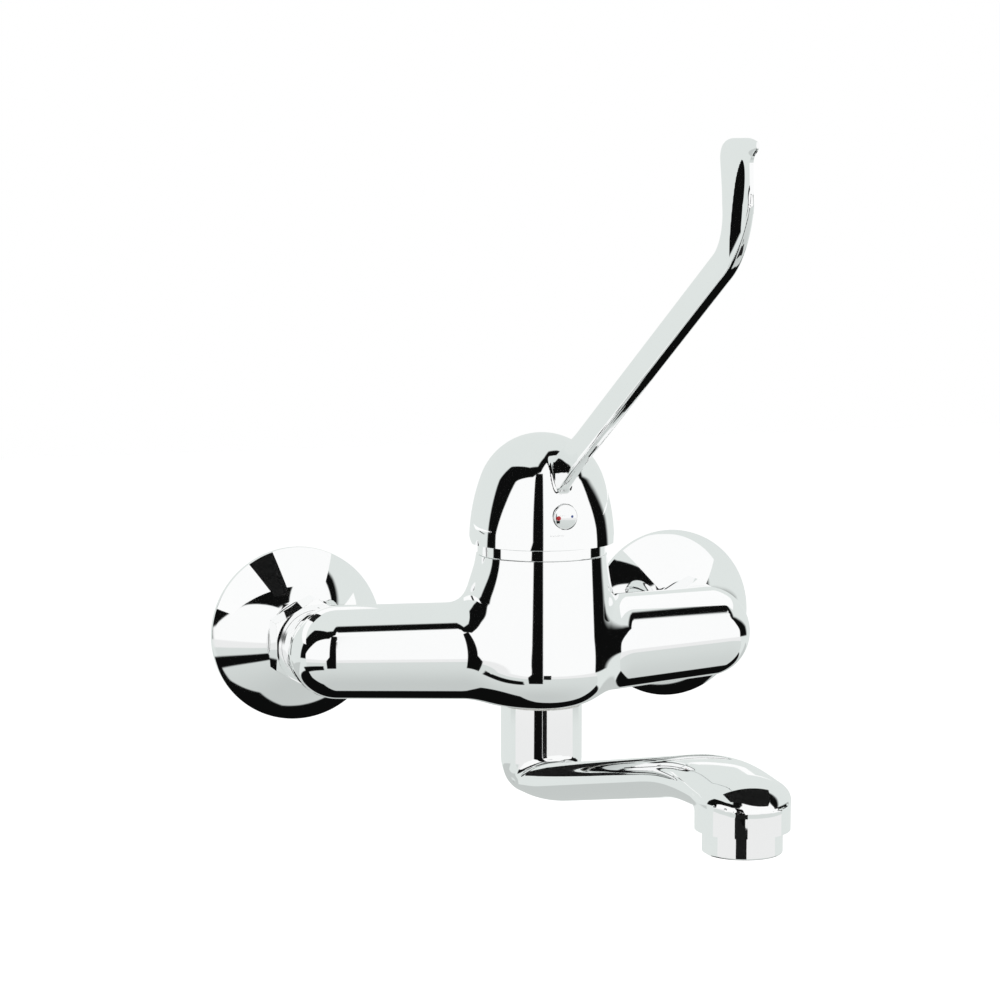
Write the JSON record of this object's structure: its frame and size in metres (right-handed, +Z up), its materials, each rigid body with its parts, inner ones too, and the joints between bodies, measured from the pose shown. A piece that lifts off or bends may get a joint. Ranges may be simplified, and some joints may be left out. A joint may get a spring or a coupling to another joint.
{
  "type": "elbow lever tap",
  "caption": "Wall-mounted mixer tap with hot and cold inlets, a domed handle whose long bent elbow lever turns and lifts, and a swivel spout with an aerator.",
  "frame": {"origin": "in the wall plane, midway between the hot and the cold inlet axis", "axes": "+X to the right seen from the front, from the hot to the cold inlet; +Y into the wall; +Z up"},
  "size_m": [0.215, 0.2792, 0.2367],
  "materials": {
    "chrome": "polished",
    "brass": "turned",
    "rubber": "matte",
    "white_plastic": "moulded",
    "ceramic": "ground and polished",
    "steel": "turned",
    "index": "glossy with a hot and a cold dot"
  },
  "bodies": {
    "tap_body": {"body_casting": "chrome", "hot_wall_union": "brass", "cold_wall_union": "brass", "hot_wall_rose": "chrome", "cold_wall_rose": "chrome", "hot_union_washer": "rubber", "cold_union_washer": "rubber", "hot_tailpiece": "brass", "cold_tailpiece": "brass", "hot_union_nut": "chrome", "cold_union_nut": "chrome", "cartridge_base": "white_plastic", "cartridge_seals": "rubber", "fixed_disc": "ceramic", "cartridge_housing": "white_plastic", "clamp_nut": "brass", "cover_ring": "chrome", "spout_lock_screw": "steel"},
    "rotor": {"cartridge_rotor": "white_plastic", "pivot_pin": "steel"},
    "disc": {"moving_disc": "ceramic", "disc_carrier": "white_plastic"},
    "lever": {"spindle": "brass", "lever_handle": "chrome", "grub_screw": "steel", "index_plug": "index"},
    "swivel_spout": {"spout": "chrome", "spout_o_rings": "rubber", "glide_ring": "white_plastic", "aerator_shell": "chrome", "aerator_insert": "white_plastic", "aerator_washer": "rubber"}
  },
  "joints": [
    {"name": "spout_swivel", "type": "hinge", "parent": "tap_body", "child": "swivel_spout", "pos_m": [0, -0.0645, 0], "axis": [0, 0, 1], "range_deg": [-100, 100]},
    {"name": "lever_turn", "type": "hinge", "parent": "tap_body", "child": "rotor", "pos_m": [0, -0.0645, 0], "axis": [0, 0, 1], "range_deg": [-45, 45]},
    {"name": "lever_lift", "type": "hinge", "parent": "rotor", "child": "lever", "pos_m": [0, -0.0645, 0.042], "axis": [-1, 0, 0], "range_deg": [0, 20]},
    {"name": "disc_slide", "type": "slide", "parent": "rotor", "child": "disc", "axis": [0, -1, 0], "range_m": [0, 0.007]}
  ],
  "couplings": [
    {"joint": "disc_slide", "follows": "lever_lift", "m_per_rad": 0.01955}
  ]
}
